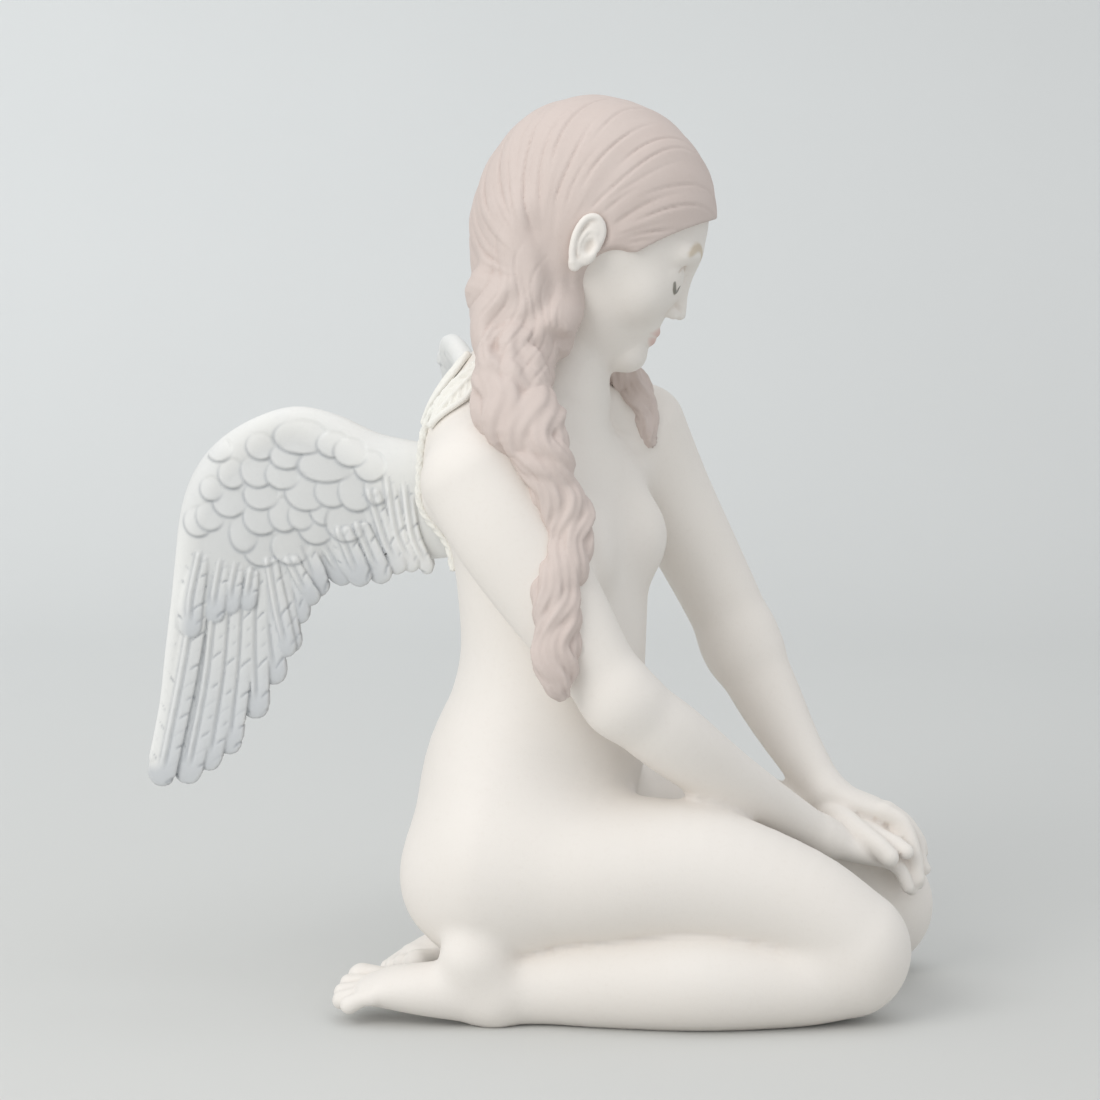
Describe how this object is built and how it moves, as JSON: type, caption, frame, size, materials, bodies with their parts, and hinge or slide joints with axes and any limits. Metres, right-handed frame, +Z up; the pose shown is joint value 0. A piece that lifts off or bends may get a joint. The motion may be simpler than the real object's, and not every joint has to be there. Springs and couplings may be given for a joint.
{
  "type": "angel figurine",
  "caption": "Kneeling nude angel figurine in matt bisque porcelain, sitting on the heels with folded hands, bowed head, long wavy hair and spread feathered wings.",
  "frame": {"origin": "middle of the bounding box in plan, on the surface the figure rests on", "axes": "+Z up, +X the way the knees point, the figure's right side and the lock over its arm towards -Y"},
  "size_m": [0.2676, 0.2178, 0.3012],
  "materials": {
    "bisque": "warm white unglazed bisque porcelain, matt",
    "hair": "bisque porcelain stained mauve pink, matt",
    "wing": "bisque porcelain stained pale blue grey in the hollows, matt",
    "lace": "cream porcelain lace leaves, matt"
  },
  "bodies": {
    "root": {"angel_figure": "bisque"}
  },
  "joints": []
}
